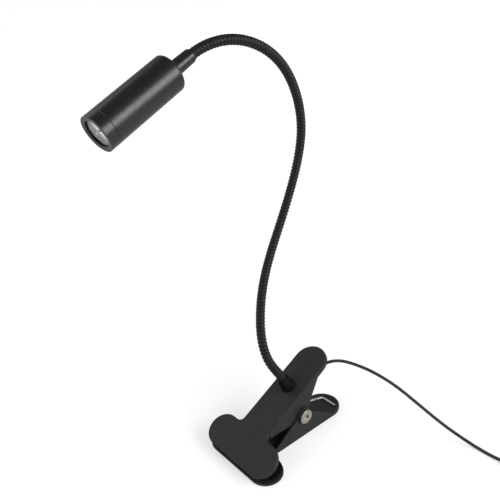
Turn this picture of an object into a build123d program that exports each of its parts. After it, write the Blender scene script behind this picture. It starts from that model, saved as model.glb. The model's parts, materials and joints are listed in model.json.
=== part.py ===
from build123d import *

import os
from math import acos, atan2, ceil, cos, dist, pi, radians, sin, sqrt, tan

os.makedirs("parts", exist_ok=True)

# Driving dimensions, in millimetres and degrees.

# Clip: two T-shaped jaws that turn on one bolt. The lower jaw lies flat.
plate_length = 114.3
stem_width = 29.4
bar_span = 74.6
bar_depth = 27.2
plate_thickness = 2.8
notch_radius = 4.7
edge_radius = 1.2
wedge_angle = 28.0
pivot_from_front = 64.0
pivot_depth = 21.3
ear_radius = 7.0
upper_nose = 8.0
upper_web = 4.2
upper_flange_thickness = 2.4
lower_nose = 4.4
lower_web = 3.6
lower_flange_thickness = 1.4
flange_gap = 0.3
boss_diameter = 12.4
boss_height = 1.6
rim_from_pivot = 13.0
rim_height = 1.0
rim_width = 2.4
pad_thickness = 2.6
pad_inset = 0.8
pad_grooves = 5
pad_groove_width = 1.2
pad_groove_depth = 0.4

# Pivot: a bolt screwed into a sleeve nut, both with a wide flat head.
sleeve_diameter = 7.0
running_clearance = 0.08
thread_gap = 0.05
slip_gap = 0.1
sleeve_end_gap = 0.3
bolt_diameter = 5.0
bolt_length = 22.2
bolt_head_diameter = 12.0
bolt_head_height = 1.5
bolt_head_rounding = 0.5
socket_width = 4.0
socket_depth = 1.0

# Clip spring: round wire wound on the sleeve, with a bent leg on each jaw.
wire_diameter = 1.8
spring_clearance = 0.4
spring_turns = 5
near_leg_y = -8.2
far_leg_y = 6.4
upper_leg_reach = 94.0
lower_leg_reach = 106.4
upper_foot = 14.0
lower_foot = 15.4
wire_corner = 2.4
seat_gap = 0.05

# Neck: a ribbed, bored gooseneck that stands square on the upper jaw.
neck_from_front = 72.4
neck_diameter = 7.6
valley_diameter = 6.7
rib_pitch = 2.1
rib_sides = 12
bore_diameter = 3.6
lip_width = 0.4
neck_joints = 9
first_joint = 21.0
last_joint = 14.0
joint_swing = 25.0
joint_gap = 0.3
cone_margin = 1.0
neck_bends = [
    (-13.7, 5.1, 27.5),
    (-14.2, 10.4, 37.6),
    (-4.5, 24.3, 57.2),
    (22.0, 45.0, 83.4),
    (49.0, 56.0, 112.4),
    (69.0, 59.0, 146.4),
    (75.0, 54.0, 185.4),
    (64.0, 47.0, 220.4),
    (40.0, 42.0, 250.4),
    (2.0, 41.5, 266.5),
]
ferrule_mouth_offset = (-33.7, 40.8, 260.7)

# Neck base: stud, collar, washer and nut on the upper jaw.
stud_diameter = 7.8
stud_hole_diameter = 8.2
stud_flange_diameter = 10.4
stud_flange_height = 1.8
stud_end = 0.8
collar_height = 14.0
collar_base_diameter = 12.6
collar_top_diameter = 8.8
collar_foot_radius = 0.6
collar_gap = 0.15
washer_diameter = 13.2
washer_thickness = 1.0
nut_width = 12.0
nut_height = 4.0

# Head: a plain cylinder with a screwed front ring.
head_diameter = 26.0
head_length = 66.0
head_droop = 24.5
head_turn = 4.5
head_wall = 1.5
rear_wall = 3.0
rear_radius = 2.2
bezel_length = 7.5
bezel_spigot = 5.0
seam_chamfer = 0.25
aperture_diameter = 19.4
bezel_lip = 0.9
bezel_slope = 0.5
lens_diameter = 21.0
lens_thickness = 2.2
lens_rise = 0.9
lens_margin = 0.4
reflector_length = 14.0
reflector_wall = 0.8
reflector_throat = 7.6
reflector_margin = 0.2
reflector_bow_width = 0.78
reflector_bow_height = 0.48
board_thickness = 1.6
emitter_width = 5.0
emitter_height = 0.8
emitter_dome = 2.8
emitter_rounding = 1.2
slug_length = 18.0
slug_hole = 3.8
ferrule_length = 19.1
ferrule_mouth_diameter = 9.8
ferrule_foot_diameter = 10.8
ferrule_lip_height = 0.8
ferrule_lip_chamfer = 0.3
ferrule_bore_depth = 9.0
ferrule_stud_diameter = 6.0
ferrule_stud_length = 8.0
ferrule_nut_width = 9.0
ferrule_nut_height = 3.5

# Cord: thin round lead, the same inside the neck and outside.
cord_diameter = 2.6
lead_sides = 8
lead_step = 6.0
lead_point = 0.3
gland_diameter = 5.2
gland_tip_diameter = 3.6
gland_bend_radius = 6.5
gland_turn = 105.0
gland_nozzle = 6.0
cord_lead_out = 9.0
cord_route = [
    (98.7, -8.5, 48.7),
    (107.7, -15.5, 49.0),
    (116.7, -25.5, 45.2),
    (123.7, -39.0, 40.3),
    (130.0, -55.0, 32.5),
    (137.3, -73.0, 20.8),
    (145.0, -90.5, 8.0),
]
cord_landing = [(151.6, -105.5), (152.0, -120.5), (152.0, -136.0)]
bend_share = 0.45
switch_lead_in = 8.0

# Unseen length: switch, neat coil with a tie, and plug, all on the same surface.
switch_centre = (152.0, -190.0)
switch_length = 58.0
switch_width = 16.0
switch_height = 11.0
switch_wall = 1.6
switch_pocket = 34.0
switch_edge = 1.8
window_length = 20.0
window_width = 9.0
rocker_length = 18.0
rocker_width = 8.2
rocker_tilt = 7.0
rocker_axle = 2.4
rocker_axle_drop = 3.0
axle_end_gap = 0.2
rocker_rise = 1.2
rocker_dish = 1.0
rocker_depth = 1.2
cheek_length = 6.0
contact_length = 26.0
contact_width = 4.0
contact_thickness = 0.6
coil_run_in = 26.0
coil_mean_radius = 15.6
coil_layer_turns = 3.5
coil_layers = 4
coil_pitch = 3.45
coil_step = 3.25
coil_lift = 1.2
coil_slope_step = 0.05
cord_sides = 8
tie_thickness = 0.8
tie_width = 6.0
tie_gap = 0.4
tie_corner = 2.2
tail_run = 38.0
tail_shift = 2.0
plug_length = 30.0
plug_width = 15.5
plug_height = 8.0
plug_edge = 1.6
plug_nose = 8.0
plug_nose_diameter = 6.4
plug_tip_diameter = 3.8
shell_width = 12.0
shell_height = 4.5
shell_length = 14.5
shell_seat = 10.0
shell_wall = 0.35
shell_window = 2.2
shell_window_reach = 8.0
shell_window_spacing = 5.4
tongue_thickness = 1.8
tongue_recess = 1.0
contact_count = 4
contact_pitch = 2.2
pin_width = 1.2
pin_thickness = 0.2
pin_recess = 2.0
pick_margin = 0.01


def keep(piece, name):
    """Label a finished piece and write it to its own file."""
    piece.part.label = name
    export_step(piece.part, f"parts/{name}.step")


def biarc(start, start_way, end, end_way):
    """Join two points by two arcs that keep the direction at both ends."""
    chord = end - start
    ways = start_way + end_way
    turn = 1 - start_way.dot(end_way)
    if turn < 1e-6:
        reach = chord.dot(chord) / (2 * chord.dot(ways))
    else:
        root = sqrt(chord.dot(ways) ** 2 + 2 * turn * chord.dot(chord))
        reach = (root - chord.dot(ways)) / (2 * turn)
    middle = (start + end + (start_way - end_way) * reach) * 0.5
    TangentArc(start, middle, tangent=start_way)
    TangentArc(middle, end, tangent=middle - start - start_way * reach)


def self_gap(path, diameter, apart, samples):
    """Least air between two stretches of one tube, 'apart' or more along it."""
    step = path.length / samples
    spots = [tuple(path.position_at(i / samples)) for i in range(samples + 1)]
    skip = ceil(apart / step)
    least = min(
        dist(spots[i], spots[j])
        for i in range(0, samples + 1 - skip)
        for j in range(i + skip, samples + 1)
    )
    return least - diameter


# Jaw planes: x runs from the front edge to the handle, z is the outward normal.
half_wedge = radians(wedge_angle / 2)
pivot_reach = pivot_from_front * cos(half_wedge) + pivot_depth * sin(half_wedge)
pivot = Vector(pivot_reach * cos(half_wedge), 0, pivot_reach * sin(half_wedge))
wedge = radians(wedge_angle)
upper_along = Vector(cos(wedge), 0, sin(wedge))
upper_out = Vector(-sin(wedge), 0, cos(wedge))
upper_plane = Plane(
    origin=pivot - upper_along * pivot_from_front + upper_out * pivot_depth,
    x_dir=upper_along,
    z_dir=upper_out,
)
lower_plane = Plane(
    origin=pivot - Vector(pivot_from_front, 0, pivot_depth),
    x_dir=(1, 0, 0),
    z_dir=(0, 0, -1),
)
floor = lower_plane.origin.Z

tip_centre = plate_length - stem_width / 2
stem_run = tip_centre - bar_depth / 2
flange_front = bar_depth + notch_radius
rim_front = pivot_from_front + rim_from_pivot
inner_flange_face = stem_width / 2 - lower_flange_thickness - flange_gap
ear_hole = sleeve_diameter + 2 * running_clearance


def across(jaw, v):
    """Plane along a jaw's side: x along the jaw, y along its outward normal."""
    return Plane(
        origin=jaw.origin + jaw.y_dir * v, x_dir=jaw.x_dir, z_dir=jaw.y_dir * -1
    )


def jaw_body(jaw, flange_face, flange_wall, nose, web, boss=0, neck_hole=0):
    """T-shaped plate with a rim at its handle and two eared side flanges."""
    with BuildPart() as body:
        with BuildSketch(jaw):
            with Locations((bar_depth / 2, 0)):
                SlotOverall(bar_span, bar_depth, rotation=90)
            with Locations((tip_centre - stem_run / 2, 0)):
                Rectangle(stem_run, stem_width)
            with Locations((tip_centre, 0)):
                Circle(stem_width / 2)
            notches = vertices().filter_by_position(
                Axis.X, bar_depth - pick_margin, bar_depth + pick_margin
            )
            notches = [v for v in notches if abs(v.Y) < stem_width / 2 + pick_margin]
            fillet(notches, notch_radius)
        extrude(amount=-plate_thickness)
        outer_face = body.faces().sort_by(Axis(jaw.origin, jaw.z_dir))[-1]
        fillet(outer_face.edges(), edge_radius)
        with BuildSketch(jaw.offset(-plate_thickness)):
            rim_run = tip_centre - rim_front
            for width, mode in (
                (stem_width, Mode.ADD),
                (stem_width - 2 * rim_width, Mode.SUBTRACT),
            ):
                with Locations((tip_centre - rim_run / 2, 0)):
                    Rectangle(rim_run, width, mode=mode)
                with Locations((tip_centre, 0)):
                    Circle(width / 2, mode=mode)
        extrude(amount=-rim_height)
        for side in (1, -1):
            with BuildSketch(across(jaw, side * flange_face)):
                with BuildLine():
                    root = -plate_thickness + edge_radius
                    Line((flange_front, -nose), (flange_front, root))
                    Line((flange_front, root), (tip_centre, root))
                    CenterArc((pivot_from_front, -pivot_depth), web, 0, 360)
                make_hull()
                with Locations((pivot_from_front, -pivot_depth)):
                    Circle(ear_radius)
            extrude(amount=side * flange_wall)
            if boss:
                with BuildSketch(across(jaw, side * flange_face)):
                    with Locations((pivot_from_front, -pivot_depth)):
                        Circle(boss_diameter / 2)
                extrude(amount=-side * boss)
        with BuildSketch(across(jaw, 0)):
            with Locations((pivot_from_front, -pivot_depth)):
                Circle(ear_hole / 2)
        extrude(amount=stem_width, both=True, mode=Mode.SUBTRACT)
        if neck_hole:
            with BuildSketch(jaw):
                with Locations((neck_from_front, 0)):
                    Circle(neck_hole / 2)
            extrude(amount=-2 * plate_thickness, mode=Mode.SUBTRACT)
    return body


# The lower jaw's flanges stand outside, flush with its plate; the upper ones run inside.
upper_jaw = jaw_body(
    upper_plane,
    inner_flange_face,
    upper_flange_thickness,
    upper_nose,
    upper_web,
    neck_hole=stud_hole_diameter,
)
keep(upper_jaw, "upper_jaw")
lower_jaw = jaw_body(
    lower_plane,
    stem_width / 2,
    lower_flange_thickness,
    lower_nose,
    lower_web,
    boss=boss_height,
)
keep(lower_jaw, "lower_jaw")


def pad_body(jaw):
    """Rubber pad on the inner face of a jaw's bar, with grooves along the bar."""
    with BuildPart() as body:
        with BuildSketch(jaw.offset(-plate_thickness)):
            with Locations((bar_depth / 2, 0)):
                SlotOverall(
                    bar_span - 2 * pad_inset, bar_depth - 2 * pad_inset, rotation=90
                )
        extrude(amount=-pad_thickness)
        groove_step = bar_depth / (pad_grooves + 1)
        with BuildSketch(jaw.offset(-plate_thickness - pad_thickness)):
            for i in range(pad_grooves):
                with Locations(((i + 1) * groove_step, 0)):
                    Rectangle(pad_groove_width, bar_span)
        extrude(amount=pad_groove_depth, mode=Mode.SUBTRACT)
    return body


upper_pad = pad_body(upper_plane)
keep(upper_pad, "upper_pad")
lower_pad = pad_body(lower_plane)
keep(lower_pad, "lower_pad")

# The bolt comes from the near side and the sleeve nut from the far side.
pivot_width = stem_width + 2 * boss_height
near_face = Plane(
    origin=pivot - Vector(0, pivot_width / 2, 0), x_dir=(1, 0, 0), z_dir=(0, -1, 0)
)
far_face = Plane(
    origin=pivot + Vector(0, pivot_width / 2, 0), x_dir=(1, 0, 0), z_dir=(0, 1, 0)
)
with BuildPart() as pivot_bolt:
    with BuildSketch(near_face):
        Circle(bolt_head_diameter / 2)
    extrude(amount=bolt_head_height)
    fillet(pivot_bolt.faces().sort_by(Axis.Y)[0].edges(), bolt_head_rounding)
    with BuildSketch(near_face.offset(bolt_head_height)):
        RegularPolygon(socket_width / 2, 6, major_radius=False)
    extrude(amount=-socket_depth, mode=Mode.SUBTRACT)
    with BuildSketch(near_face):
        Circle(bolt_diameter / 2)
    extrude(amount=-bolt_length)
keep(pivot_bolt, "pivot_bolt")

with BuildPart() as pivot_nut:
    with BuildSketch(far_face):
        Circle(bolt_head_diameter / 2)
    extrude(amount=bolt_head_height)
    fillet(pivot_nut.faces().sort_by(Axis.Y)[-1].edges(), bolt_head_rounding)
    with BuildSketch(far_face.offset(bolt_head_height)):
        RegularPolygon(socket_width / 2, 6, major_radius=False)
    extrude(amount=-socket_depth, mode=Mode.SUBTRACT)
    with BuildSketch(far_face):
        Circle(sleeve_diameter / 2)
    extrude(amount=-(pivot_width - sleeve_end_gap))
    with BuildSketch(far_face):
        Circle(bolt_diameter / 2 + thread_gap)
    extrude(amount=-pivot_width, mode=Mode.SUBTRACT)
keep(pivot_nut, "pivot_nut")

# Clip spring: foot and leg on the upper jaw, coil on the sleeve, leg and foot below.
spring_radius = sleeve_diameter / 2 + spring_clearance + wire_diameter / 2
wire_depth = plate_thickness + wire_diameter / 2 + seat_gap
upper_seat = upper_plane.from_local_coords(Vector(upper_leg_reach, 0, -wire_depth))
lower_seat = lower_plane.from_local_coords(Vector(lower_leg_reach, 0, -wire_depth))


def tangent_angle(seat, hand):
    """Angle round the pivot where a straight leg from its seat meets the coil."""
    arm = seat - pivot
    return atan2(arm.Z, arm.X) + hand * acos(spring_radius / arm.length)


coil_start = tangent_angle(upper_seat, 1)
coil_end = tangent_angle(lower_seat, -1) + 2 * pi * (spring_turns + 1)
quarters = ceil((coil_end - coil_start) / (pi / 2))
spring_slope = (far_leg_y - near_leg_y) / (coil_end - coil_start) / spring_radius


def spring_knot(i):
    """Point and direction of the wire after i of the coil's quarter turns."""
    angle = coil_start + (coil_end - coil_start) * i / quarters
    y = near_leg_y + (far_leg_y - near_leg_y) * i / quarters
    spot = pivot + Vector(spring_radius * cos(angle), y, spring_radius * sin(angle))
    slope = 0 if i in (0, quarters) else spring_slope
    return spot, Vector(-sin(angle), slope, cos(angle)).normalized()


with BuildPart() as clip_spring:
    with BuildLine() as spring_path:
        upper_corner = upper_seat + Vector(0, near_leg_y, 0)
        lower_corner = lower_seat + Vector(0, far_leg_y, 0)
        FilletPolyline(
            upper_corner + Vector(0, upper_foot, 0),
            upper_corner,
            spring_knot(0)[0],
            radius=wire_corner,
        )
        for i in range(quarters):
            biarc(*spring_knot(i), *spring_knot(i + 1))
        FilletPolyline(
            spring_knot(quarters)[0],
            lower_corner,
            lower_corner - Vector(0, lower_foot, 0),
            radius=wire_corner,
        )
    spring_wire = spring_path.wire()
    with BuildSketch(Plane(origin=spring_wire @ 0, z_dir=spring_wire % 0)):
        RegularPolygon(wire_diameter / 2, cord_sides)
    sweep(path=spring_wire)
keep(clip_spring, "clip_spring")
print("spring self gap", round(self_gap(spring_wire, wire_diameter, apart=12, samples=700), 2))

# Neck line: straight in the collar, over in one wide bend, straight in the ferrule.
neck_base = upper_plane.from_local_coords(Vector(neck_from_front, 0, 0))
neck_axis = upper_plane.z_dir
head_axis = Vector(
    -cos(radians(head_droop)) * cos(radians(head_turn)),
    -cos(radians(head_droop)) * sin(radians(head_turn)),
    -sin(radians(head_droop)),
)
collar_top = neck_base + neck_axis * collar_height
ferrule_mouth = neck_base + Vector(ferrule_mouth_offset)
neck_stops = [neck_base + Vector(bend) for bend in neck_bends]
neck_curve = Edge.make_spline(
    [collar_top, *neck_stops, ferrule_mouth],
    tangents=[neck_axis, head_axis],
    scale=False,
)
neck_length = collar_height + neck_curve.length + ferrule_bore_depth
stud_reach = plate_thickness + washer_thickness + nut_height + stud_end


def neck_plane(s):
    """Plane across the neck at distance s, straight before and after its bends."""
    bent = min(max(s - collar_height, 0), neck_curve.length)
    along = neck_curve.tangent_at(bent, position_mode=PositionMode.LENGTH)
    spot = neck_curve.position_at(bent, position_mode=PositionMode.LENGTH)
    spot += along * (s - collar_height - bent)
    sideways = (Vector(0, 1, 0) - along * along.Y).normalized()
    return Plane(origin=spot, x_dir=sideways, z_dir=along)


joint_step = neck_length - ferrule_bore_depth - last_joint - first_joint
joint_step = joint_step / (neck_joints - 1)
joint_spots = [first_joint + i * joint_step for i in range(neck_joints)]
cone_slope = tan(radians(joint_swing / 2 + cone_margin))


def cone_back(radius):
    """How far a link's conical end stands back from the joint at a radius."""
    return joint_gap / 2 + radius * cone_slope


def tube_of(stations, sides, mode=Mode.ADD):
    """Straight-ruled tube through polygons at (distance, radius) along the neck."""
    sections = []
    for s, radius in stations:
        with BuildSketch(neck_plane(s)) as section:
            RegularPolygon(radius, sides)
        sections.append(section.sketch)
    loft(sections, ruled=True, mode=mode)


def even_stops(low, high, step):
    """Evenly spread distances from low to high, close to a step apart."""
    count = max(1, round((high - low) / step))
    return [low + (high - low) * i / count for i in range(count + 1)]


crest = neck_diameter / 2
valley = valley_diameter / 2
lip = bore_diameter / 2 + lip_width
for i in range(neck_joints + 1):
    jointed_low = i > 0
    jointed_high = i < neck_joints
    low = joint_spots[i - 1] if jointed_low else stud_flange_height
    high = joint_spots[i] if jointed_high else neck_length
    rib_low = low + cone_back(valley) if jointed_low else low
    rib_high = high - cone_back(valley) if jointed_high else high
    valleys = even_stops(rib_low, rib_high, rib_pitch)
    ribs = [(rib_low, valley)]
    for before, after in zip(valleys, valleys[1:]):
        ribs += [((before + after) / 2, crest), (after, valley)]
    if jointed_low:
        ribs.insert(0, (low + cone_back(lip), lip))
    if jointed_high:
        ribs.append((high - cone_back(lip), lip))
    with BuildPart() as neck_link:
        tube_of(ribs, rib_sides)
        bore_stops = even_stops(low - 1, high + 1, lead_step)
        bore = [(s, bore_diameter / 2) for s in bore_stops]
        tube_of(bore, lead_sides, Mode.SUBTRACT)
    keep(neck_link, f"neck_link_{i + 1}")

# Head stations, measured along its axis from the back of the barrel.
head_back = ferrule_mouth + head_axis * ferrule_length
head_side = (Vector(0, 1, 0) - head_axis * head_axis.Y).normalized()
head_profile = Plane(
    origin=head_back, x_dir=head_side, z_dir=head_side.cross(head_axis)
)
head_line = Axis(head_back, head_axis)
barrel_length = head_length - bezel_length
barrel_bore = head_diameter / 2 - head_wall
lens_front = head_length - bezel_slope - bezel_lip
lens_back = lens_front - lens_thickness
board_front = lens_back - reflector_length
board_back = board_front - board_thickness
slug_back = board_back - slug_length

# Lead inside the neck: one piece per link, the first from the gland, the last to the board.
lead_radius = cord_diameter / 2
for i in range(neck_joints + 1):
    low = joint_spots[i - 1] if i > 0 else -stud_reach
    high = neck_length - ferrule_bore_depth + ferrule_length + board_back
    if i < neck_joints:
        high = joint_spots[i]
    run_low = low + cone_back(lead_radius) if i > 0 else low
    run_high = high - cone_back(lead_radius) if i < neck_joints else high
    run = [(s, lead_radius) for s in even_stops(run_low, run_high, lead_step)]
    if i > 0:
        run.insert(0, (low + cone_back(lead_point), lead_point))
    if i < neck_joints:
        run.append((high - cone_back(lead_point), lead_point))
    with BuildPart() as neck_lead:
        tube_of(run, lead_sides)
    keep(neck_lead, f"neck_lead_{i + 1}")

# Neck base: the stud passes through the jaw and is held by washer and nut.
with BuildPart() as neck_stud:
    with BuildSketch(upper_plane):
        with Locations((neck_from_front, 0)):
            Circle(stud_flange_diameter / 2)
    extrude(amount=stud_flange_height)
    with BuildSketch(upper_plane):
        with Locations((neck_from_front, 0)):
            Circle(stud_diameter / 2)
    extrude(amount=-stud_reach)
    with BuildSketch(upper_plane):
        with Locations((neck_from_front, 0)):
            Circle(bore_diameter / 2)
    extrude(amount=2 * stud_reach, both=True, mode=Mode.SUBTRACT)
keep(neck_stud, "neck_stud")

with BuildPart() as neck_collar:
    with BuildSketch(upper_plane):
        with Locations((neck_from_front, 0)):
            Circle(collar_base_diameter / 2)
    with BuildSketch(upper_plane.offset(collar_height)):
        with Locations((neck_from_front, 0)):
            Circle(collar_top_diameter / 2)
    loft(ruled=True)
    collar_foot = neck_collar.faces().sort_by(Axis(neck_base, neck_axis))[0]
    fillet(collar_foot.edges(), collar_foot_radius)
    with BuildSketch(upper_plane):
        with Locations((neck_from_front, 0)):
            Circle(neck_diameter / 2 + collar_gap)
    extrude(amount=collar_height, mode=Mode.SUBTRACT)
    with BuildSketch(upper_plane):
        with Locations((neck_from_front, 0)):
            Circle(stud_flange_diameter / 2 + collar_gap)
    extrude(amount=stud_flange_height + collar_gap, mode=Mode.SUBTRACT)
keep(neck_collar, "neck_collar")

with BuildPart() as neck_washer:
    with BuildSketch(upper_plane.offset(-plate_thickness)):
        with Locations((neck_from_front, 0)):
            Circle(washer_diameter / 2)
            Circle(stud_diameter / 2 + slip_gap, mode=Mode.SUBTRACT)
    extrude(amount=-washer_thickness)
keep(neck_washer, "neck_washer")

with BuildPart() as neck_nut:
    with BuildSketch(upper_plane.offset(-plate_thickness - washer_thickness)):
        with Locations((neck_from_front, 0)):
            RegularPolygon(nut_width / 2, 6, major_radius=False)
            Circle(stud_diameter / 2 + thread_gap, mode=Mode.SUBTRACT)
    extrude(amount=-nut_height)
keep(neck_nut, "neck_nut")

# Gland: a rubber elbow that turns the cord towards the handle.
with BuildPart() as cord_gland:
    with BuildLine(across(upper_plane, 0)) as gland_path:
        JernArc(
            (neck_from_front, -stud_reach), (0, -1), gland_bend_radius, gland_turn
        )
    gland_wire = gland_path.wire()
    with BuildSketch(Plane(origin=gland_wire @ 0, z_dir=gland_wire % 0)):
        Circle(gland_diameter / 2)
    sweep(path=gland_wire)
    gland_way = gland_wire % 1
    nozzle_plane = Plane(origin=gland_wire @ 1, x_dir=(0, 1, 0), z_dir=gland_way)
    with BuildSketch(nozzle_plane):
        Circle(gland_diameter / 2)
    with BuildSketch(nozzle_plane.offset(gland_nozzle)):
        Circle(gland_tip_diameter / 2)
    loft(ruled=True)
keep(cord_gland, "cord_gland")
gland_outlet = gland_wire @ 1 + gland_way * gland_nozzle


def turned(outline, mode=Mode.ADD):
    """Turn an outline of (radius, station) points about the head's axis."""
    with BuildSketch(head_profile) as section:
        with BuildLine():
            Polyline(*outline, close=True)
        make_face()
    revolve(section.sketch, axis=head_line, mode=mode)


head_radius = head_diameter / 2
with BuildPart() as head_barrel:
    turned(
        [
            (ferrule_stud_diameter / 2 + slip_gap, 0),
            (head_radius, 0),
            (head_radius, barrel_length - seam_chamfer),
            (head_radius - seam_chamfer, barrel_length),
            (barrel_bore, barrel_length),
            (barrel_bore, rear_wall),
            (ferrule_stud_diameter / 2 + slip_gap, rear_wall),
        ]
    )
    rear_edge = head_barrel.edges().filter_by(GeomType.CIRCLE)
    rear_edge = rear_edge.sort_by(lambda e: e.radius)[-2:].sort_by(head_line)[0]
    fillet(rear_edge, rear_radius)
keep(head_barrel, "head_barrel")

with BuildPart() as front_bezel:
    turned(
        [
            (barrel_bore - thread_gap, barrel_length - bezel_spigot),
            (barrel_bore - thread_gap, barrel_length),
            (head_radius - seam_chamfer, barrel_length),
            (head_radius, barrel_length + seam_chamfer),
            (head_radius, head_length - seam_chamfer),
            (head_radius - seam_chamfer, head_length),
            (aperture_diameter / 2, head_length - bezel_slope),
            (aperture_diameter / 2, lens_front),
            (lens_diameter / 2 + slip_gap, lens_front),
            (lens_diameter / 2 + slip_gap, barrel_length - bezel_spigot),
        ]
    )
keep(front_bezel, "front_bezel")

# Lens: flat at the back, gently domed inside the ring's opening.
lens_radius = lens_diameter / 2
dome_radius = aperture_diameter / 2 - lens_margin
with BuildPart() as lens:
    with BuildSketch(head_profile):
        with BuildLine():
            Polyline(
                (0, lens_front + lens_rise),
                (0, lens_back),
                (lens_radius, lens_back),
                (lens_radius, lens_front),
                (dome_radius, lens_front),
            )
            TangentArc(
                (0, lens_front + lens_rise), (dome_radius, lens_front), tangent=(1, 0)
            )
        make_face()
    revolve(axis=head_line)
keep(lens, "lens")

# Reflector: a flared cup between the board and the lens.
cup_mouth = aperture_diameter / 2 - reflector_margin
cup_bow = (
    cup_mouth * reflector_bow_width,
    board_front + reflector_length * reflector_bow_height,
)
with BuildPart() as reflector:
    with BuildSketch(head_profile):
        with BuildLine():
            ThreePointArc(
                (reflector_throat / 2, board_front), cup_bow, (cup_mouth, lens_back)
            )
            Polyline(
                (cup_mouth, lens_back),
                (lens_radius, lens_back),
                (lens_radius, lens_back - reflector_wall),
                (cup_mouth + reflector_wall, lens_back - reflector_wall),
            )
            ThreePointArc(
                (cup_mouth + reflector_wall, lens_back - reflector_wall),
                (cup_bow[0] + reflector_wall, cup_bow[1] - reflector_wall),
                (reflector_throat / 2 + 2 * reflector_wall, board_front),
            )
            Line(
                (reflector_throat / 2 + 2 * reflector_wall, board_front),
                (reflector_throat / 2, board_front),
            )
        make_face()
    revolve(axis=head_line)
keep(reflector, "reflector")


def head_plane(station):
    """Plane across the head at a station from its back."""
    return Plane(
        origin=head_back + head_axis * station, x_dir=head_side, z_dir=head_axis
    )


with BuildPart() as led_emitter:
    with BuildSketch(head_plane(board_front)):
        Rectangle(emitter_width, emitter_width)
    extrude(amount=emitter_height)
    with BuildSketch(head_plane(board_front + emitter_height)):
        Circle(emitter_dome / 2)
    extrude(amount=emitter_dome / 2)
    dome_top = led_emitter.faces().sort_by(head_line)[-1]
    fillet(dome_top.edges(), emitter_rounding)
keep(led_emitter, "led_emitter")

with BuildPart() as led_board:
    with BuildSketch(head_plane(board_back)):
        Circle(lens_radius)
    extrude(amount=board_thickness)
keep(led_board, "led_board")

with BuildPart() as heat_slug:
    with BuildSketch(head_plane(slug_back)):
        Circle(barrel_bore - thread_gap)
        Circle(slug_hole / 2, mode=Mode.SUBTRACT)
    extrude(amount=slug_length)
keep(heat_slug, "heat_slug")

with BuildPart() as head_ferrule:
    lead_hole = bore_diameter / 2
    grip = neck_diameter / 2 + slip_gap
    turned(
        [
            (lead_hole, ferrule_stud_length),
            (ferrule_stud_diameter / 2, ferrule_stud_length),
            (ferrule_stud_diameter / 2, 0),
            (ferrule_foot_diameter / 2, 0),
            (ferrule_mouth_diameter / 2, ferrule_lip_height - ferrule_length),
            (ferrule_mouth_diameter / 2 - ferrule_lip_chamfer, -ferrule_length),
            (grip, -ferrule_length),
            (grip, ferrule_bore_depth - ferrule_length),
            (lead_hole, ferrule_bore_depth - ferrule_length),
        ]
    )
keep(head_ferrule, "head_ferrule")

with BuildPart() as ferrule_nut:
    with BuildSketch(head_plane(rear_wall)):
        RegularPolygon(ferrule_nut_width / 2, 6, major_radius=False)
        Circle(ferrule_stud_diameter / 2 + thread_gap, mode=Mode.SUBTRACT)
    extrude(amount=ferrule_nut_height)
keep(ferrule_nut, "ferrule_nut")

# Cord from the gland, past the handle and down to the surface, then to the switch.
cord_height = floor + cord_diameter / 2
switch_plane = Plane(
    origin=(switch_centre[0], switch_centre[1], floor),
    x_dir=(0, -1, 0),
    z_dir=(0, 0, 1),
)
switch_in = switch_plane.from_local_coords(
    Vector(-switch_length / 2, 0, switch_height / 2)
)
switch_out = switch_plane.from_local_coords(
    Vector(switch_length / 2, 0, switch_height / 2)
)


def bend_radii(points):
    """Radius for each corner of a route: wide, and within the shorter run."""
    radii = []
    for a, b, c in zip(points, points[1:], points[2:]):
        half_turn = (b - a).get_angle(c - b) / 2
        shorter = min((b - a).length, (c - b).length)
        radii.append(bend_share * shorter / tan(radians(half_turn)))
    return radii


cord_points = [gland_outlet, gland_outlet + gland_way * cord_lead_out]
cord_points += [Vector(point) for point in cord_route]
cord_points += [Vector(x, y, cord_height) for x, y in cord_landing]
cord_points += [switch_in + Vector(0, switch_lead_in, 0), switch_in]
cord_radii = bend_radii(cord_points)
with BuildPart() as cord:
    with BuildLine() as cord_path:
        FilletPolyline(*cord_points, radius=cord_radii)
    cord_wire = cord_path.wire()
    with BuildSketch(Plane(origin=cord_wire @ 0, z_dir=cord_wire % 0)):
        Circle(cord_diameter / 2)
    sweep(path=cord_wire)
keep(cord, "cord")
cord_section = pi * cord_diameter**2 / 4
print("cord radii", [round(r, 1) for r in cord_radii])
print("cord volume ratio", round(cord.part.volume / cord_section / cord_wire.length, 4))

# Coil: spirals in and out in flat layers and climbs where the spiral turns round.
coil_span = coil_layer_turns * coil_pitch
coil_outer = coil_mean_radius + coil_span / 2
coil_centre = Vector(
    switch_centre[0] + coil_outer, switch_out.Y - coil_run_in, cord_height + coil_lift
)
layer_angle = 2 * pi * coil_layer_turns
coil_angle = coil_layers * layer_angle + (coil_layers - 1) * pi


def coil_spot(angle):
    """Point of the coil's centre line, by the angle wound so far."""
    layer = min(int(angle / (layer_angle + pi)), coil_layers - 1)
    within = angle - layer * (layer_angle + pi)
    inward = coil_span * min(within / layer_angle, 1)
    climb = max(within - layer_angle, 0) / pi
    radius = coil_outer - (inward if layer % 2 == 0 else coil_span - inward)
    around = pi + angle
    return coil_centre + Vector(
        radius * cos(around), radius * sin(around), (layer + climb) * coil_step
    )


def coil_knot(i, knots):
    """Point and direction of the coil after i of its knots."""
    angle = coil_angle * i / knots
    before = coil_spot(max(angle - coil_slope_step, 0))
    after = coil_spot(min(angle + coil_slope_step, coil_angle))
    return coil_spot(angle), (after - before).normalized()


coil_knots = ceil(coil_angle / (pi / 2))


def cord_tube(path):
    """Sweep the cord's outline along a path."""
    with BuildSketch(Plane(origin=path @ 0, z_dir=path % 0)) as section:
        RegularPolygon(cord_diameter / 2, cord_sides)
    sweep(section.sketch, path=path)


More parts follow.
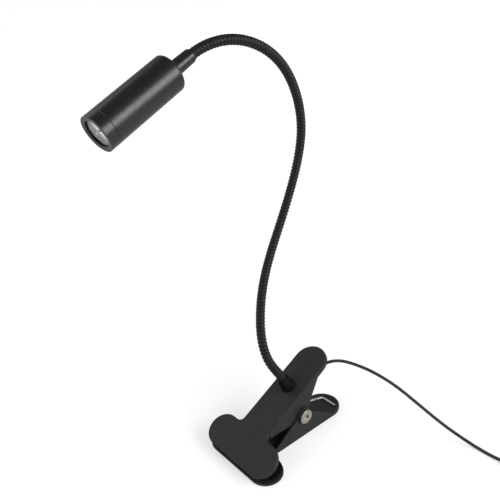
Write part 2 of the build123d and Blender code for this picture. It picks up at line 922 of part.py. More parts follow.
with BuildPart() as cord_coil:
    with BuildLine() as coil_path:
        for i in range(coil_knots):
            biarc(*coil_knot(i, coil_knots), *coil_knot(i + 1, coil_knots))
    coil_wire = coil_path.wire()
    cord_tube(coil_wire)
keep(cord_coil, "cord_coil")

coil_in, coil_in_way = coil_knot(0, coil_knots)
coil_out, coil_out_way = coil_knot(coil_knots, coil_knots)
with BuildPart() as cord_to_coil:
    with BuildLine() as run_in_path:
        biarc(switch_out, Vector(0, -1, 0), coil_in, coil_in_way)
    run_in_wire = run_in_path.wire()
    cord_tube(run_in_wire)
keep(cord_to_coil, "cord_to_coil")

plug_plane = Plane(
    origin=(coil_out.X + tail_shift, coil_out.Y + tail_run + plug_nose, floor),
    x_dir=(0, 1, 0),
    z_dir=(0, 0, 1),
)
plug_in = plug_plane.from_local_coords(Vector(-plug_nose, 0, plug_height / 2))
with BuildPart() as cord_to_plug:
    with BuildLine() as tail_path:
        biarc(coil_out, coil_out_way, plug_in, Vector(0, 1, 0))
    tail_wire = tail_path.wire()
    cord_tube(tail_wire)
keep(cord_to_plug, "cord_to_plug")
cord_total = cord_wire.length + run_in_wire.length + coil_wire.length + tail_wire.length
print("cord length", round(cord_total + switch_length))
print("coil self gap", round(self_gap(coil_wire, cord_diameter, apart=25, samples=1200), 2))

# Tie round the bundle, on the side of the coil away from the climbs.
bundle_width = coil_span + cord_diameter + 2 * tie_gap
bundle_height = (coil_layers - 1) * coil_step + cord_diameter + 2 * tie_gap
tie_plane = Plane(
    origin=coil_centre
    + Vector(0, -coil_mean_radius, (coil_layers - 1) * coil_step / 2),
    x_dir=(0, -1, 0),
    z_dir=(-1, 0, 0),
)
with BuildPart() as cord_tie:
    with BuildSketch(tie_plane):
        RectangleRounded(
            bundle_width + 2 * tie_thickness,
            bundle_height + 2 * tie_thickness,
            tie_corner,
        )
        RectangleRounded(
            bundle_width, bundle_height, tie_corner - tie_thickness, mode=Mode.SUBTRACT
        )
    extrude(amount=tie_width / 2, both=True)
keep(cord_tie, "cord_tie")

# Cord switch: two half shells, a rocker on an axle and a contact leaf.
half_height = switch_height / 2
inner_width = switch_width - 2 * switch_wall
with BuildPart() as switch_base:
    with BuildSketch(switch_plane):
        SlotOverall(switch_length, switch_width)
    extrude(amount=half_height)
    fillet(switch_base.faces().sort_by(Axis.Z)[0].edges(), switch_edge)
    with BuildSketch(switch_plane.offset(switch_wall)):
        Rectangle(switch_pocket, inner_width)
    extrude(amount=switch_height, mode=Mode.SUBTRACT)
keep(switch_base, "switch_base")

axle_height = switch_height - rocker_axle_drop
axle_plane = Plane(
    origin=switch_plane.from_local_coords(Vector(0, 0, axle_height)),
    x_dir=switch_plane.x_dir,
    z_dir=switch_plane.y_dir * -1,
)
with BuildPart() as switch_cover:
    with BuildSketch(switch_plane.offset(half_height)):
        SlotOverall(switch_length, switch_width)
    extrude(amount=half_height)
    fillet(switch_cover.faces().sort_by(Axis.Z)[-1].edges(), switch_edge)
    with BuildSketch(switch_plane.offset(half_height)):
        Rectangle(switch_pocket, inner_width)
    extrude(amount=half_height - switch_wall, mode=Mode.SUBTRACT)
    with BuildSketch(switch_plane.offset(half_height)):
        Rectangle(window_length, window_width)
    extrude(amount=half_height, mode=Mode.SUBTRACT)
    cheek_width = (inner_width - window_width) / 2
    with BuildSketch(switch_plane.offset(half_height)):
        for side in (1, -1):
            with Locations((0, side * (inner_width - cheek_width) / 2)):
                Rectangle(cheek_length, cheek_width)
    extrude(amount=half_height - switch_wall)
    with BuildSketch(axle_plane):
        Circle(rocker_axle / 2 + running_clearance)
    extrude(amount=inner_width / 2, both=True, mode=Mode.SUBTRACT)
keep(switch_cover, "switch_cover")

rocker_plane = Plane(
    origin=axle_plane.origin,
    x_dir=axle_plane.x_dir.rotate(Axis(axle_plane.origin, axle_plane.z_dir), -rocker_tilt),
    z_dir=axle_plane.z_dir,
)
rocker_half = rocker_length / 2
rocker_top = rocker_axle_drop + rocker_rise
with BuildPart() as switch_rocker:
    with BuildSketch(rocker_plane):
        with BuildLine():
            Polyline(
                (rocker_half, rocker_top),
                (rocker_half, -rocker_depth),
                (-rocker_half, -rocker_depth),
                (-rocker_half, rocker_top),
            )
            ThreePointArc(
                (-rocker_half, rocker_top),
                (0, rocker_top - rocker_dish),
                (rocker_half, rocker_top),
            )
        make_face()
    extrude(amount=rocker_width / 2, both=True)
    with BuildSketch(rocker_plane):
        Circle(rocker_axle / 2)
    extrude(amount=inner_width / 2 - axle_end_gap, both=True)
keep(switch_rocker, "switch_rocker")

with BuildPart() as switch_contacts:
    with BuildSketch(switch_plane.offset(switch_wall)):
        Rectangle(contact_length, contact_width)
    extrude(amount=contact_thickness)
    with BuildSketch(switch_plane.offset(switch_wall + contact_thickness)):
        with GridLocations(contact_length - contact_width, 0, 2, 1):
            Rectangle(contact_width, contact_width)
    extrude(amount=contact_thickness * 2)
keep(switch_contacts, "switch_contacts")

# Plug: moulded grip with a metal shell, a tongue in it and flat contacts.
shell_back = plug_length - shell_seat
shell_front = plug_length + shell_length


def plug_section(station):
    """Plane across the plug at a station from the back of its grip."""
    return Plane(
        origin=plug_plane.from_local_coords(Vector(station, 0, plug_height / 2)),
        x_dir=plug_plane.y_dir,
        z_dir=plug_plane.x_dir,
    )


with BuildPart() as plug_grip:
    with BuildSketch(plug_section(0)):
        RectangleRounded(plug_width, plug_height, plug_edge)
    extrude(amount=plug_length)
    for end in (0, -1):
        fillet(plug_grip.faces().sort_by(Axis.Y)[end].edges(), plug_edge / 2)
    with BuildSketch(plug_section(-plug_nose)):
        Circle(plug_tip_diameter / 2)
    with BuildSketch(plug_section(0)):
        Circle(plug_nose_diameter / 2)
    loft(ruled=True)
    with BuildSketch(plug_section(shell_back)):
        Rectangle(shell_width + slip_gap, shell_height + slip_gap)
    extrude(amount=shell_seat, mode=Mode.SUBTRACT)
keep(plug_grip, "plug_grip")

with BuildPart() as plug_shell:
    with BuildSketch(plug_section(shell_back)):
        Rectangle(shell_width, shell_height)
        Rectangle(
            shell_width - 2 * shell_wall, shell_height - 2 * shell_wall, mode=Mode.SUBTRACT
        )
    extrude(amount=shell_seat + shell_length)
    with BuildSketch(plug_plane.offset(plug_height)):
        with Locations((plug_length + shell_window_reach, 0)):
            with GridLocations(0, shell_window_spacing, 1, 2):
                Rectangle(shell_window, shell_window)
    extrude(amount=-plug_height / 2, mode=Mode.SUBTRACT)
keep(plug_shell, "plug_shell")

tongue_rise = shell_height / 2 - shell_wall - tongue_thickness / 2 - seat_gap
with BuildPart() as plug_tongue:
    with BuildSketch(plug_section(shell_back + seat_gap)):
        with Locations((0, -tongue_rise)):
            Rectangle(shell_width - 2 * shell_wall - slip_gap, tongue_thickness)
    extrude(amount=shell_seat + shell_length - tongue_recess)
keep(plug_tongue, "plug_tongue")

with BuildPart() as plug_contacts:
    with BuildSketch(plug_section(plug_length)):
        contact_rise = tongue_rise - tongue_thickness / 2 - pin_thickness / 2
        with Locations((0, -contact_rise)):
            with GridLocations(contact_pitch, 0, contact_count, 1):
                Rectangle(pin_width, pin_thickness)
    extrude(amount=shell_length - pin_recess)
keep(plug_contacts, "plug_contacts")
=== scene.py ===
import json
import math

import bpy
import numpy as np
from mathutils import Matrix, Vector


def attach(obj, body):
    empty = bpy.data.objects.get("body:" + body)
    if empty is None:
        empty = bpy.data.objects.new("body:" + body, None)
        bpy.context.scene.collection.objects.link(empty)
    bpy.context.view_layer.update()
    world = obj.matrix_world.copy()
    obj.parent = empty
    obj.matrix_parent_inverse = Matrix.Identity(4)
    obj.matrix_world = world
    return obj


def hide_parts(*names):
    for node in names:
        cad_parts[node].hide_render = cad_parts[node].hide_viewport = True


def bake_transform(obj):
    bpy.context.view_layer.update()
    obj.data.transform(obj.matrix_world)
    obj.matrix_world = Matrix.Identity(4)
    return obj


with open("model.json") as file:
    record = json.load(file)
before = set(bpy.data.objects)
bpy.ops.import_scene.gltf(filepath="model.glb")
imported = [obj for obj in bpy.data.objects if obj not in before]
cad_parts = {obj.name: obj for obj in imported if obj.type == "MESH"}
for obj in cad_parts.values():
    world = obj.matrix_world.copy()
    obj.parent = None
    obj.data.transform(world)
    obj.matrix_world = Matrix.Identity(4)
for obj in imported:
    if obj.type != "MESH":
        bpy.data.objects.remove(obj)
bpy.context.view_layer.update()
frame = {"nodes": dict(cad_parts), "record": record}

MM = 0.001
FLOOR = -5.030 * MM
scene = bpy.context.scene


# Camera, fitted to the photograph.
def look_from(place, right, up, forward, lens):
    """Camera at a place, with its own three directions."""
    data = bpy.data.cameras.new("camera")
    data.lens = lens
    data.sensor_width = 36.0
    data.clip_start = 0.01
    data.clip_end = 50.0
    camera = bpy.data.objects.new("camera", data)
    turn = Matrix((right, up, [-x for x in forward])).transposed().to_4x4()
    camera.matrix_world = Matrix.Translation(place) @ turn
    scene.collection.objects.link(camera)
    scene.camera = camera


look_from(
    place=(-0.19822, -0.2999, 0.34490),
    right=(0.7692, -0.6353, -0.0686),
    up=(0.3140, 0.2823, 0.9065),
    forward=(0.5566, 0.7188, -0.4167),
    lens=43.2,
)


# Procedural materials.
# Width of the paler edges: partly rubbed wear, partly a painted highlight.
EDGE_WEAR_AND_HIGHLIGHT_WIDTH = 0.5 * MM
FACET = 4.0 * MM
FACET_DEPTH = 1.2 * MM
LENS_IOR = 1.4


def shader_of(name, colour, roughness, metallic=0.0, specular=0.5):
    """New material with its tree and its main shader."""
    made = bpy.data.materials.new(name)
    made.use_nodes = True
    tree = made.node_tree
    shader = tree.nodes["Principled BSDF"]
    shader.inputs["Base Color"].default_value = (*colour, 1)
    shader.inputs["Roughness"].default_value = roughness
    shader.inputs["Metallic"].default_value = metallic
    shader.inputs["Specular IOR Level"].default_value = specular
    return made, tree, shader


def node(tree, kind, inputs=(), **settings):
    """Add a node; inputs are (socket, value or output to link) pairs."""
    made = tree.nodes.new("ShaderNode" + kind)
    for key, value in settings.items():
        setattr(made, key, value)
    for socket, value in inputs:
        if isinstance(value, bpy.types.NodeSocket):
            tree.links.new(value, made.inputs[socket])
        else:
            made.inputs[socket].default_value = value
    return made


def own_place(tree):
    """The piece's own coordinates in metres."""
    return node(tree, "TexCoord").outputs["Object"]


def noise(tree, size, detail=2.0):
    """Noise between about 0 and 1 with features of one size in metres."""
    inputs = [("Vector", own_place(tree)), ("Scale", 1 / size), ("Detail", detail)]
    return node(tree, "TexNoise", inputs).outputs["Fac"]


def spread(tree, value, low, high, start=0.3, stop=0.7):
    """Map a range, by default a noise's usual one, onto low to high."""
    inputs = [("Value", value), ("From Min", start), ("From Max", stop)]
    inputs += [("To Min", low), ("To Max", high)]
    return node(tree, "MapRange", inputs).outputs["Result"]


def tint(tree, shader, factor, dark, light):
    """Vary the base colour between two colours."""
    mix = node(tree, "Mix", [("Factor", factor)], data_type="RGBA")
    mix.inputs[6].default_value = (*dark, 1)
    mix.inputs[7].default_value = (*light, 1)
    tree.links.new(mix.outputs[2], shader.inputs["Base Color"])
    return mix


def relief(tree, shader, height, depth, below=None):
    """Bump of a depth in metres, on top of another bump."""
    inputs = [("Height", height), ("Distance", depth), ("Strength", 1.0)]
    if below is not None:
        inputs.append(("Normal", below))
    normal = node(tree, "Bump", inputs).outputs["Normal"]
    tree.links.new(normal, shader.inputs["Normal"])
    return normal


def edge_wear_and_highlight_mask(tree, width):
    """1 on edges, where handling rubs and where the painted edge highlight goes; 0 on flats."""
    soft = node(tree, "Bevel", [("Radius", width)], samples=4).outputs["Normal"]
    flat = node(tree, "NewGeometry").outputs["Normal"]
    dot = node(tree, "VectorMath", [(0, soft), (1, flat)], operation="DOT_PRODUCT")
    return spread(tree, dot.outputs["Value"], 1.0, 0.0, start=0.80, stop=0.985)


def moulded(name, dark, light, roughness, grain, depth, specular=0.4, edge=None):
    """Moulded plastic: fine spark texture, patchy gloss, paler edges that are partly rubbed wear
    and partly a painted highlight.
    """
    made, tree, shader = shader_of(name, dark, roughness, specular=specular)
    patches = noise(tree, 14 * MM, 3.0)
    mix = tint(tree, shader, patches, dark, light)
    shine = spread(tree, noise(tree, 5 * MM, 4.0), roughness - 0.05, roughness + 0.07)
    tree.links.new(shine, shader.inputs["Roughness"])
    under = relief(tree, shader, noise(tree, grain, 2.0), depth)
    relief(tree, shader, noise(tree, grain * 3.1, 1.0), depth * 1.5, under)
    if edge is not None:
        # Paler edges: partly rubbed wear, partly a painted highlight along the edges.
        worn_and_highlit_edge = node(tree, "Mix", [("Factor", edge_wear_and_highlight_mask(tree, EDGE_WEAR_AND_HIGHLIGHT_WIDTH))], data_type="RGBA")
        tree.links.new(mix.outputs[2], worn_and_highlit_edge.inputs[6])
        worn_and_highlit_edge.inputs[7].default_value = (*edge, 1)
        tree.links.new(worn_and_highlit_edge.outputs[2], shader.inputs["Base Color"])
    return made


def plated(name, dark, light, roughness, streak):
    """Metal with fine streaks and patchy polish."""
    made, tree, shader = shader_of(name, light, roughness, metallic=1.0)
    lines = noise(tree, streak, 3.0)
    tint(tree, shader, lines, dark, light)
    polish = spread(tree, noise(tree, 2.5 * MM, 3.0), roughness - 0.06, roughness + 0.1)
    tree.links.new(polish, shader.inputs["Roughness"])
    relief(tree, shader, lines, 0.006 * MM)
    return made


def painted(name, dark, light, roughness, peel, depth, specular):
    """Sprayed paint: slight orange peel and patchy gloss."""
    made, tree, shader = shader_of(name, dark, roughness, specular=specular)
    tint(tree, shader, noise(tree, 9 * MM, 4.0), dark, light)
    shine = spread(tree, noise(tree, 3 * MM, 3.0), roughness - 0.03, roughness + 0.05)
    tree.links.new(shine, shader.inputs["Roughness"])
    relief(tree, shader, noise(tree, peel, 1.0), depth)
    return made


def rubber(name, dark, light):
    """Moulded rubber with a slight, uneven shine."""
    made, tree, shader = shader_of(name, dark, 0.35, specular=0.12)
    tint(tree, shader, noise(tree, 3 * MM, 5.0), dark, light)
    shine = spread(tree, noise(tree, 2 * MM, 3.0), 0.28, 0.46)
    tree.links.new(shine, shader.inputs["Roughness"])
    relief(tree, shader, noise(tree, 0.5 * MM, 2.0), 0.01 * MM)
    return made


def clear(name):
    """Clear moulded lens with faint flow marks; it bends light less than a real one."""
    made, tree, shader = shader_of(name, (1, 1, 1), 0.02)
    shader.inputs["Transmission Weight"].default_value = 1.0
    shader.inputs["IOR"].default_value = LENS_IOR
    relief(tree, shader, noise(tree, 6 * MM, 1.0), 0.01 * MM)
    return made


def mirror(name):
    """Aluminised cup with shallow facets that spread the beam; its dark colour is painted shade,
    standing in for the dim surroundings it would reflect.
    """
    made, tree, shader = shader_of(name, (0.14, 0.137, 0.158), 0.12, metallic=1.0)
    inputs = [("Vector", own_place(tree)), ("Scale", 1 / FACET), ("Smoothness", 0.3)]
    cells = node(tree, "TexVoronoi", inputs, feature="SMOOTH_F1")
    relief(tree, shader, cells.outputs["Distance"], FACET_DEPTH)
    tint(tree, shader, noise(tree, 4 * MM), (0.075, 0.073, 0.085), (0.19, 0.185, 0.214))
    return made


def phosphor(name):
    """Yellow phosphor under a silicone skin."""
    made, tree, shader = shader_of(name, (0.75, 0.55, 0.08), 0.35)
    tint(tree, shader, noise(tree, 0.2 * MM, 3.0), (0.62, 0.42, 0.05), (0.82, 0.62, 0.1))
    relief(tree, shader, noise(tree, 0.3 * MM), 0.02 * MM)
    return made


BLACK = (0.0205, 0.0206, 0.0220)
BLACK_PALE = (0.0250, 0.0251, 0.0265)
# Colour of the paler edges: partly rubbed wear, partly a painted highlight.
EDGE_WEAR_AND_HIGHLIGHT = (0.045, 0.045, 0.046)
NECK_DARK = (0.008, 0.008, 0.008)
NECK_PALE = (0.012, 0.012, 0.012)
HEAD_DARK = (0.0045, 0.0045, 0.005)
HEAD_PALE = (0.0065, 0.0065, 0.007)
CORD_DARK = (0.022, 0.022, 0.023)
CORD_PALE = (0.03, 0.03, 0.031)
WHITE_DARK = (0.72, 0.72, 0.7)
WHITE_PALE = (0.8, 0.8, 0.78)
FINISHES = [
    ("jaw_plastic", moulded, BLACK, BLACK_PALE, 0.5, 0.45 * MM, 0.008 * MM, 0.14, EDGE_WEAR_AND_HIGHLIGHT),
    ("grip_rubber", rubber, (0.004, 0.004, 0.004), (0.007, 0.007, 0.007)),
    ("bright_steel", plated, (0.26, 0.24, 0.208), (0.54, 0.506, 0.45), 0.3, 0.9 * MM),
    ("spring_steel", plated, (0.62, 0.59, 0.54), (0.8, 0.77, 0.72), 0.3, 0.6 * MM),
    ("plated_fixings", plated, (0.5, 0.5, 0.5), (0.72, 0.72, 0.71), 0.3, 0.5 * MM),
    ("neck_black", painted, NECK_DARK, NECK_PALE, 0.4, 0.8 * MM, 0.004 * MM, 0.17),
    ("head_black", painted, HEAD_DARK, HEAD_PALE, 0.33, 1.6 * MM, 0.002 * MM, 0.46),
    ("cord_black", moulded, CORD_DARK, CORD_PALE, 0.45, 0.5 * MM, 0.008 * MM, 0.2),
    ("black_plastic", moulded, BLACK, BLACK_PALE, 0.45, 0.4 * MM, 0.012 * MM, 0.4, EDGE_WEAR_AND_HIGHLIGHT),
    ("clear_lens", clear),
    ("mirror_cup", mirror),
    ("led_yellow", phosphor),
    ("slug_metal", plated, (0.5, 0.5, 0.51), (0.7, 0.7, 0.71), 0.35, 0.4 * MM),
    ("contact_brass", plated, (0.62, 0.44, 0.16), (0.85, 0.65, 0.3), 0.28, 0.4 * MM),
    ("white_plastic", moulded, WHITE_DARK, WHITE_PALE, 0.4, 0.4 * MM, 0.006 * MM),
]
MATERIALS = {slot: finish(slot, *values) for slot, finish, *values in FINISHES}
for row in frame["record"]["subparts"]:
    mesh = frame["nodes"][row["node"]].data
    mesh.materials.clear()
    mesh.materials.append(MATERIALS[row["material_slot"]])


def dressed(piece, slot):
    """Give a new piece the finish of a slot of the record."""
    piece.data.materials.append(MATERIALS[slot])
    return piece


def shown(name, data):
    """New object in the scene."""
    made = bpy.data.objects.new(name, data)
    scene.collection.objects.link(made)
    return made


# Cord: the route's own points, through the switch, round the coil and to the plug.
CORD = 2.6 * MM
CORD_Z = FLOOR + CORD / 2
SWITCH_X = 152.0 * MM
AXLE_Z = 0.470 * MM
COIL_LAYER_TURNS = 3.5
COIL_LAYERS = 4
COIL_PITCH = 3.45 * MM
COIL_STEP = 3.25 * MM
COIL_SPAN = COIL_LAYER_TURNS * COIL_PITCH
COIL_OUTER = 15.6 * MM + COIL_SPAN / 2
COIL_CENTRE = Vector((SWITCH_X + COIL_OUTER, -0.245, CORD_Z + 1.2 * MM))
TURN_POINTS = 16
ROUTE_TO_COIL = [
    (81.269, 0.0, 33.817),
    (87.851, 0.0, 39.954),
    (98.7, -8.5, 48.7),
    (107.7, -15.5, 49.6),
    (116.7, -25.5, 45.4),
    (123.7, -39.0, 40.8),
    (131.3, -55.0, 32.1),
    (137.4, -73.0, 20.3),
    (143.3, -90.5, 8.7),
    (148.5, -105.5, 0.7),
    (151.6, -120.5, CORD_Z / MM),
    (152.0, -136.0, CORD_Z / MM),
    (152.0, -153.0, AXLE_Z / MM),
    (152.0, -161.0, AXLE_Z / MM),
    (152.0, -190.0, AXLE_Z / MM),
    (152.0, -219.0, AXLE_Z / MM),
    (152.0, -228.0, AXLE_Z / MM),
    (152.0, -236.0, COIL_CENTRE.z / MM),
]
ROUTE_TO_PLUG = [
    (195.6, -236.0, 7.0),
    (196.6, -222.0, 2.1),
    (197.28, -213.0, -0.9),
    (197.28, -207.0, -1.03),
    (197.28, -201.0, -1.03),
]


def coil_spot(angle):
    """Point of the coil's centre line, by the angle wound so far."""
    layer_angle = 2 * math.pi * COIL_LAYER_TURNS
    layer = min(int(angle / (layer_angle + math.pi)), COIL_LAYERS - 1)
    within = angle - layer * (layer_angle + math.pi)
    inward = COIL_SPAN * min(within / layer_angle, 1)
    climb = max(within - layer_angle, 0) / math.pi
    radius = COIL_OUTER - (inward if layer % 2 == 0 else COIL_SPAN - inward)
    radius = radius / math.cos(math.pi / TURN_POINTS)
    around = math.pi + angle
    rise = (layer + climb) * COIL_STEP
    return COIL_CENTRE + Vector((radius * math.cos(around), radius * math.sin(around), rise))


cord_points = [Vector(point) * MM for point in ROUTE_TO_COIL]
coil_turns = COIL_LAYERS * COIL_LAYER_TURNS + (COIL_LAYERS - 1) / 2
for i in range(int(coil_turns * TURN_POINTS) + 1):
    cord_points.append(coil_spot(2 * math.pi * i / TURN_POINTS))
cord_points += [Vector(point) * MM for point in ROUTE_TO_PLUG]

cord_data = bpy.data.curves.new("cord_line", "CURVE")
cord_data.dimensions = "3D"
line = cord_data.splines.new("NURBS")
line.points.add(len(cord_points) - 1)
for spot, point in zip(line.points, cord_points):
    spot.co = (*point, 1)
line.order_u = 3
line.use_endpoint_u = True
line.resolution_u = 6
cord_data.bevel_depth = CORD / 2
cord_data.bevel_resolution = 4
cord_data.use_fill_caps = True
cord_line = dressed(shown("cord_line", cord_data), "cord_black")
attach(cord_line, "clip_upper")
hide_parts("cord", "cord_to_coil", "cord_coil", "cord_to_plug")

# Neck line: straight in the collar, over in one wide bend, straight in the ferrule.
NECK_BASE = Vector((62.671, 0.0, 39.020)) * MM
NECK_AXIS = Vector((-0.46947, 0.0, 0.88295)).normalized()
HEAD_AXIS = Vector((-0.90716, -0.07140, -0.41469)).normalized()
COLLAR = 14.0 * MM
FERRULE_BORE = 9.0 * MM
BENDS = [
    (-13.7, 5.1, 27.5),
    (-14.2, 10.4, 37.6),
    (-4.5, 24.3, 57.2),
    (22.0, 45.0, 83.4),
    (49.0, 56.0, 112.4),
    (69.0, 59.0, 146.4),
    (75.0, 54.0, 185.4),
    (64.0, 47.0, 220.4),
    (40.0, 42.0, 250.4),
    (2.0, 41.5, 266.5),
    (-33.7, 40.8, 260.7),
]
FIRST_JOINT = 21.0 * MM
LAST_JOINT = 14.0 * MM
JOINTS = 9
RIB_PITCH = 2.95 * MM
CREST = 3.8 * MM
VALLEY = 2.95 * MM
NECK_SIDES = 28
RIB_ROWS = 10
SPAN_POINTS = 120
LINE_END = 0.3 * MM
SKIN_START = 5.0 * MM
SKIN_END = 0.5 * MM


def smooth_line(points, first_way, last_way, per_span):
    """Cubic line through points with given end directions, as close points."""
    points = np.array(points)
    span = np.linalg.norm(np.diff(points, axis=0), axis=1)
    chord = np.diff(points, axis=0) / span[:, None]
    count = len(points)
    system = np.eye(count)
    ways = np.zeros((count, 3))
    ways[0] = first_way
    ways[-1] = last_way
    for i in range(1, count - 1):
        before, after = span[i - 1], span[i]
        system[i, i - 1 : i + 2] = after, 2 * (before + after), before
        ways[i] = 3 * (after * chord[i - 1] + before * chord[i])
    ways = np.linalg.solve(system, ways)
    line = []
    for i in range(count - 1):
        t = np.linspace(0, 1, per_span, endpoint=False)[:, None]
        line.append(
            (1 + 2 * t) * (1 - t) ** 2 * points[i]
            + t * (1 - t) ** 2 * span[i] * ways[i]
            + t**2 * (3 - 2 * t) * points[i + 1]
            + t**2 * (t - 1) * span[i] * ways[i + 1]
        )
    return np.vstack([*line, points[-1:]])


bent = [NECK_BASE + NECK_AXIS * COLLAR] + [NECK_BASE + Vector(bend) * MM for bend in BENDS]
neck_line = smooth_line(bent, NECK_AXIS, HEAD_AXIS, SPAN_POINTS)
mouth = Vector(neck_line[-1])
neck_line = np.vstack([NECK_BASE, neck_line, mouth + HEAD_AXIS * FERRULE_BORE])
neck_run = np.concatenate([[0], np.cumsum(np.linalg.norm(np.diff(neck_line, axis=0), axis=1))])
neck_length = neck_run[-1]
joint_step = (neck_length - FERRULE_BORE - LAST_JOINT - FIRST_JOINT) / (JOINTS - 1)
joint_spots = [FIRST_JOINT + i * joint_step for i in range(JOINTS)]


def neck_point(run):
    """Point on the neck's line at a distance from its foot."""
    return np.stack([np.interp(run, neck_run, neck_line[:, k]) for k in range(3)], axis=-1)


def neck_frame(run):
    """Point and two directions across the neck, steady along it."""
    step = 0.2 * MM
    along = neck_point(run + step) - neck_point(run - step)
    along /= np.linalg.norm(along, axis=-1, keepdims=True)
    across = np.array([0.0, 1.0, 0.0]) - along * along[..., 1:2]
    across /= np.linalg.norm(across, axis=-1, keepdims=True)
    return neck_point(run), across, np.cross(along, across)


def neck_skin(name, low, high):
    """Closely wound wire along part of the neck, as one winding surface."""
    first = round(low / RIB_PITCH * RIB_ROWS)
    last = round(high / RIB_PITCH * RIB_ROWS)
    rows = np.arange(first, last + 1)
    around = np.arange(NECK_SIDES + 1) / NECK_SIDES
    phase = np.broadcast_to((rows / RIB_ROWS)[:, None], (len(rows), len(around)))
    run = np.clip((phase + around[None, :]) * RIB_PITCH, LINE_END, neck_length - LINE_END)
    spot, across, other = neck_frame(run)
    within = 2 * (phase % 1.0) - 1
    radius = VALLEY + (CREST - VALLEY) * np.sqrt(np.maximum(1 - within**2, 0))
    angle = 2 * math.pi * np.broadcast_to(around[None, :], phase.shape)
    out = across * np.cos(angle)[..., None] + other * np.sin(angle)[..., None]
    points = (spot + out * radius[..., None]).reshape(-1, 3)
    wide = NECK_SIDES + 1
    faces = [
        (r * wide + c, r * wide + c + 1, (r + 1) * wide + c + 1, (r + 1) * wide + c)
        for r in range(len(rows) - 1)
        for c in range(NECK_SIDES)
    ]
    mesh = bpy.data.meshes.new(name)
    mesh.from_pydata(points.tolist(), [], faces)
    mesh.validate()
    mesh.shade_smooth()
    return dressed(shown(name, mesh), "neck_black")


cuts = [SKIN_START]
cuts += [(a + b) / 2 for a, b in zip(joint_spots, joint_spots[1:])]
cuts += [neck_length - RIB_PITCH - SKIN_END]
for i, spot in enumerate(joint_spots):
    skin = neck_skin(f"neck_skin_{i + 1}", cuts[i], cuts[i + 1])
    links = [f"neck_link_{i + 1}"]
    if i == JOINTS - 1:
        links.append(f"neck_link_{JOINTS + 1}")
    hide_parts(*links)
    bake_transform(skin)

# Clip spring: foot and leg on the upper jaw, coil on the sleeve, leg and foot below.
PIVOT = Vector((65.254, 0.0, 16.270)) * MM
UPPER_SEAT = Vector((83.504, 0.0, 45.849)) * MM
LOWER_SEAT = Vector((107.654, 0.0, -1.280)) * MM
WIRE = 1.8 * MM
SPRING_RADIUS = 4.8 * MM
SPRING_TURNS = 5
NEAR_LEG = Vector((0.0, -8.2, 0.0)) * MM
FAR_LEG = Vector((0.0, 6.4, 0.0)) * MM
UPPER_FOOT = Vector((0.0, 14.0, 0.0)) * MM
LOWER_FOOT = Vector((0.0, 15.4, 0.0)) * MM
WIRE_CORNER = 2.4 * MM
TURN_STEPS = 30


def tangent_angle(seat, hand):
    """Angle round the pivot where a straight leg from its seat meets the coil."""
    arm = seat - PIVOT
    return math.atan2(arm.z, arm.x) + hand * math.acos(SPRING_RADIUS / arm.length)


def rounded_corner(before, corner, after, radius, steps=8):
    """Points of an arc that rounds one corner."""
    way_in = (before - corner).normalized()
    way_out = (after - corner).normalized()
    half = way_in.angle(way_out) / 2
    centre = corner + (way_in + way_out).normalized() * radius / math.sin(half)
    start = corner + way_in * radius / math.tan(half) - centre
    stop = corner + way_out * radius / math.tan(half) - centre
    return [centre + start.slerp(stop, i / steps).normalized() * radius for i in range(steps + 1)]


wind_start = tangent_angle(UPPER_SEAT, 1)
wind_stop = tangent_angle(LOWER_SEAT, -1) + 2 * math.pi * (SPRING_TURNS + 1)
wind_steps = TURN_STEPS * (SPRING_TURNS + 1)
winding = []
for i in range(wind_steps + 1):
    share = i / wind_steps
    angle = wind_start + (wind_stop - wind_start) * share
    across = NEAR_LEG.lerp(FAR_LEG, share)
    winding.append(PIVOT + across + SPRING_RADIUS * Vector((math.cos(angle), 0, math.sin(angle))))
upper_corner = UPPER_SEAT + NEAR_LEG
lower_corner = LOWER_SEAT + FAR_LEG
wire = [upper_corner + UPPER_FOOT]
wire += rounded_corner(wire[0], upper_corner, winding[0], WIRE_CORNER)
wire += winding
wire += rounded_corner(winding[-1], lower_corner, lower_corner - LOWER_FOOT, WIRE_CORNER)
wire.append(lower_corner - LOWER_FOOT)
wire_data = bpy.data.curves.new("spring_wire", "CURVE")
wire_data.dimensions = "3D"
wire_line = wire_data.splines.new("POLY")
wire_line.points.add(len(wire) - 1)
for spot, point in zip(wire_line.points, wire):
    spot.co = (*point, 1)
wire_data.bevel_depth = WIRE / 2
wire_data.bevel_resolution = 3
wire_data.use_fill_caps = True
wire_curve = shown("spring_wire_line", wire_data)
bpy.context.view_layer.update()
spring_mesh = bpy.data.meshes.new_from_object(wire_curve)
bpy.data.objects.remove(wire_curve)
spring_mesh.materials.clear()
spring = dressed(shown("spring_wire", spring_mesh), "spring_steel")
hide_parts("clip_spring")
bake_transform(spring)

# Floor: white to the camera, with the lamp's soft shadow round its foot.
FLOOR_REACH = 6.0
FLOOR_GREY = (0.5, 0.5, 0.5)
GLOW_NEAR = 0.5
GLOW_FAR = 0.85
SHADOW_REACH = (0.2, 1.4)
GLOW_MIRRORED = 0.25
CORNERS = [(-1, -1), (1, -1), (1, 1), (-1, 1)]
floor_mesh = bpy.data.meshes.new("floor")
floor_points = [(x * FLOOR_REACH, y * FLOOR_REACH, FLOOR) for x, y in CORNERS]
floor_mesh.from_pydata(floor_points, [], [(0, 1, 2, 3)])
floor = shown("floor", floor_mesh)


def combined(tree, one, other, operation):
    """Two values joined by an operation."""
    return node(tree, "Math", [(0, one), (1, other)], operation=operation).outputs[0]


def mirrored_rays(tree):
    """1 for rays that metal or glass sends on, 0 for others."""
    path = node(tree, "LightPath").outputs
    return combined(tree, path["Is Glossy Ray"], path["Is Transmission Ray"], "MAXIMUM")


def camera_rays(tree):
    """1 for rays straight from the camera, 0 for others."""
    return node(tree, "LightPath").outputs["Is Camera Ray"]


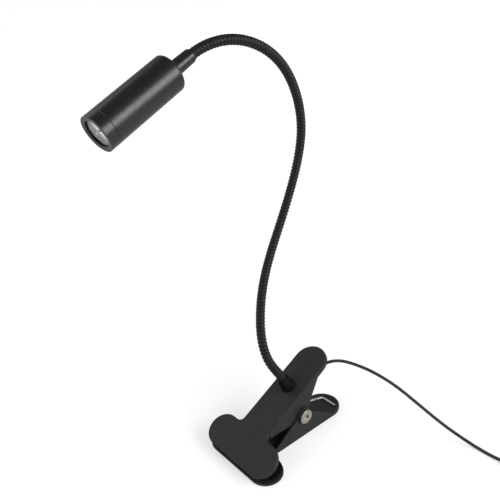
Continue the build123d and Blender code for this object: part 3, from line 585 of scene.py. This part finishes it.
floor_paint, tree, shader = shader_of("floor", FLOOR_GREY, 0.9, specular=0.0)
away = node(tree, "VectorMath", [(0, own_place(tree))], operation="LENGTH").outputs["Value"]
white = spread(tree, away, GLOW_NEAR, GLOW_FAR, *SHADOW_REACH)
direct = combined(tree, white, camera_rays(tree), "MULTIPLY")
mirrored = spread(tree, mirrored_rays(tree), 0.0, GLOW_MIRRORED, 0.0, 1.0)
glow = combined(tree, direct, mirrored, "MAXIMUM")
tree.links.new(glow, shader.inputs["Emission Strength"])
shader.inputs["Emission Color"].default_value = (1, 1, 1, 1)
floor_mesh.materials.append(floor_paint)

# World: white to the camera; reflections see a white sweep behind the lamp in a dim studio.
WHITE = 1.0
AMBIENT = 0.45
STUDIO = 0.2
BEHIND = (0.612, 0.790, 0.0)
SWEEP_TOP = (0.12, 0.42)
SWEEP_SIDE = (-0.1, 0.3)


def faded(tree, value, low, high, start, stop):
    """Map a range onto low to high with soft ends."""
    inputs = [("Value", value), ("From Min", start), ("From Max", stop)]
    inputs += [("To Min", low), ("To Max", high)]
    made = node(tree, "MapRange", inputs, interpolation_type="SMOOTHSTEP")
    return made.outputs["Result"]


world = bpy.data.worlds.new("studio")
world.use_nodes = True
scene.world = world
tree = world.node_tree
backdrop = tree.nodes["Background"]
backdrop.inputs["Color"].default_value = (1, 1, 1, 1)
way = node(tree, "TexCoord").outputs["Generated"]
upward = node(tree, "SeparateXYZ", [(0, way)]).outputs["Z"]
backward = node(tree, "VectorMath", [(0, way), (1, BEHIND)], operation="DOT_PRODUCT")
low = faded(tree, upward, 1.0, 0.0, *SWEEP_TOP)
behind = faded(tree, backward.outputs["Value"], 0.0, 1.0, *SWEEP_SIDE)
sweep = combined(tree, low, behind, "MULTIPLY")
lit = node(tree, "Mix", [("Factor", mirrored_rays(tree))])
lit.inputs[2].default_value = AMBIENT
tree.links.new(spread(tree, sweep, STUDIO, WHITE, 0.0, 1.0), lit.inputs[3])
seen = node(tree, "Mix", [("Factor", camera_rays(tree))])
tree.links.new(lit.outputs[0], seen.inputs[2])
seen.inputs[3].default_value = WHITE
tree.links.new(seen.outputs[0], backdrop.inputs["Strength"])


# Soft studio light.
def softbox(name, place, target, width, height, power):
    """Rectangular soft light."""
    data = bpy.data.lights.new(name, "AREA")
    data.shape = "RECTANGLE"
    data.size = width
    data.size_y = height
    data.energy = power
    lamp = bpy.data.objects.new(name, data)
    lamp.location = place
    lamp.rotation_euler = (Vector(target) - Vector(place)).to_track_quat("-Z", "Y").to_euler()
    scene.collection.objects.link(lamp)


MIDDLE = (0.05, 0.0, 0.15)
HEAD = (-0.016, 0.038, 0.28)
softbox("key", (0.324, -0.765, 0.55), HEAD, width=0.9, height=0.42, power=10.0)
softbox("top", (-0.35, 0.75, 0.9), MIDDLE, width=0.8, height=0.8, power=2.5)
softbox("fill", (-0.9, 0.1, 0.5), MIDDLE, width=0.5, height=0.5, power=3.5)
scene.view_settings.view_transform = "Standard"
